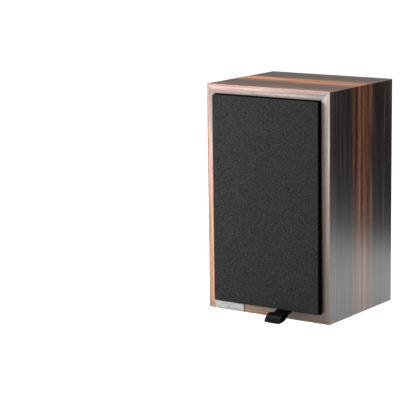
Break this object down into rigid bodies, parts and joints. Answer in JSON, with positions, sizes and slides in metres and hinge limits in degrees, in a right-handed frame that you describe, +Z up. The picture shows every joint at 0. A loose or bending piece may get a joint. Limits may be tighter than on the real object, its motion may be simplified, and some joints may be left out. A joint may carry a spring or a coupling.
{
  "type": "bookshelf speaker",
  "caption": "Two-way bookshelf speaker in a veneered box, with a felt-lined baffle behind a pull-off cloth grille and screw terminals on the back.",
  "frame": {"origin": "centre of the cabinet's flat underside", "axes": "+Z up, -Y out of the front (the grille side), +X to the right seen from the front"},
  "size_m": [0.19, 0.2212, 0.305],
  "materials": {
    "ebony_veneer": "satin",
    "birch_ply": "matte",
    "black_board": "matte",
    "acoustic_foam": "matte",
    "brushed_plate": "satin",
    "felt": "matte",
    "grey_enamel": "satin",
    "doped_dome": "satin",
    "plated_steel": "satin",
    "black_steel": "satin",
    "ferrite": "matte",
    "surround_rubber": "satin",
    "gloss_cone": "gloss",
    "copper_wire": "satin",
    "spider_cloth": "matte",
    "grille_cloth": "matte",
    "satin_ribbon": "satin",
    "brass": "satin",
    "red_plastic": "gloss",
    "black_plastic": "gloss",
    "circuit_board": "satin",
    "capacitor_case": "gloss",
    "lead_sheath": "satin"
  },
  "bodies": {
    "cabinet": {"panel_top": "ebony_veneer", "panel_bottom": "ebony_veneer", "panel_left": "ebony_veneer", "panel_right": "ebony_veneer", "back_panel": "ebony_veneer", "batten_left": "birch_ply", "batten_right": "birch_ply", "batten_bottom": "birch_ply", "batten_top": "birch_ply", "baffle": "black_board", "foam_lining": "acoustic_foam", "badge_plate": "brushed_plate", "felt_top": "felt", "felt_bottom": "felt", "felt_left": "felt", "felt_right": "felt", "tweeter_felt_frame": "felt", "tweeter_plate": "grey_enamel", "tweeter_top_plate": "plated_steel", "tweeter_magnet": "ferrite", "tweeter_yoke": "plated_steel", "woofer_basket": "grey_enamel", "woofer_surround": "surround_rubber", "woofer_spider": "spider_cloth", "woofer_top_plate": "plated_steel", "woofer_magnet": "ferrite", "woofer_yoke": "plated_steel", "terminal_plate": "black_plastic", "terminal_post_red": "brass", "terminal_post_black": "brass", "crossover_board": "circuit_board", "inductor": "copper_wire", "capacitor": "capacitor_case", "tweeter_lead": "lead_sheath", "woofer_lead": "lead_sheath", "baffle_screw_top_left": "plated_steel", "baffle_screw_top_right": "plated_steel", "baffle_screw_bottom_left": "plated_steel", "baffle_screw_bottom_right": "plated_steel", "baffle_screw_left_lower": "plated_steel", "baffle_screw_left_upper": "plated_steel", "baffle_screw_right_lower": "plated_steel", "baffle_screw_right_upper": "plated_steel", "woofer_screw_upper_left": "plated_steel", "woofer_screw_upper_right": "plated_steel", "woofer_screw_lower_left": "plated_steel", "woofer_screw_lower_right": "plated_steel", "tweeter_screw_left": "black_steel", "tweeter_screw_right": "black_steel"},
    "grille": {"grille_cloth": "grille_cloth", "grille_frame": "black_board", "grille_tab": "satin_ribbon"},
    "cone": {"woofer_cone": "gloss_cone", "woofer_dust_cap": "gloss_cone", "woofer_voice_coil": "copper_wire"},
    "dome": {"tweeter_dome": "doped_dome"},
    "clamp_red": {"terminal_clamp_red": "brass"},
    "clamp_black": {"terminal_clamp_black": "brass"},
    "knob_red": {"terminal_knob_red": "red_plastic"},
    "knob_black": {"terminal_knob_black": "black_plastic"}
  },
  "joints": [
    {"name": "grille_pull", "type": "slide", "parent": "cabinet", "child": "grille", "axis": [0, -1, 0], "range_m": [0, 0.3]},
    {"name": "cone_travel", "type": "slide", "parent": "cabinet", "child": "cone", "axis": [0, 1, 0], "range_m": [-0.003, 0.003], "stiffness_N_per_m": 600, "deforming": ["woofer_surround", "woofer_spider"]},
    {"name": "dome_travel", "type": "slide", "parent": "cabinet", "child": "dome", "axis": [0, 1, 0], "range_m": [-0.0004, 0.0004], "stiffness_N_per_m": 20},
    {"name": "clamp_red_travel", "type": "slide", "parent": "cabinet", "child": "clamp_red", "axis": [0, 1, 0], "range_m": [0, 0.0028]},
    {"name": "knob_red_turn", "type": "hinge", "parent": "clamp_red", "child": "knob_red", "pos_m": [-0.0095, 0.0943, 0.07], "axis": [0, 1, 0], "range_deg": [0, 1440]},
    {"name": "clamp_black_travel", "type": "slide", "parent": "cabinet", "child": "clamp_black", "axis": [0, 1, 0], "range_m": [0, 0.0028]},
    {"name": "knob_black_turn", "type": "hinge", "parent": "clamp_black", "child": "knob_black", "pos_m": [0.0095, 0.0943, 0.07], "axis": [0, 1, 0], "range_deg": [0, 1440]}
  ],
  "couplings": [
    {"joint": "knob_red_turn", "follows": "clamp_red_travel", "rad_per_m": 8976},
    {"joint": "knob_black_turn", "follows": "clamp_black_travel", "rad_per_m": 8976}
  ]
}
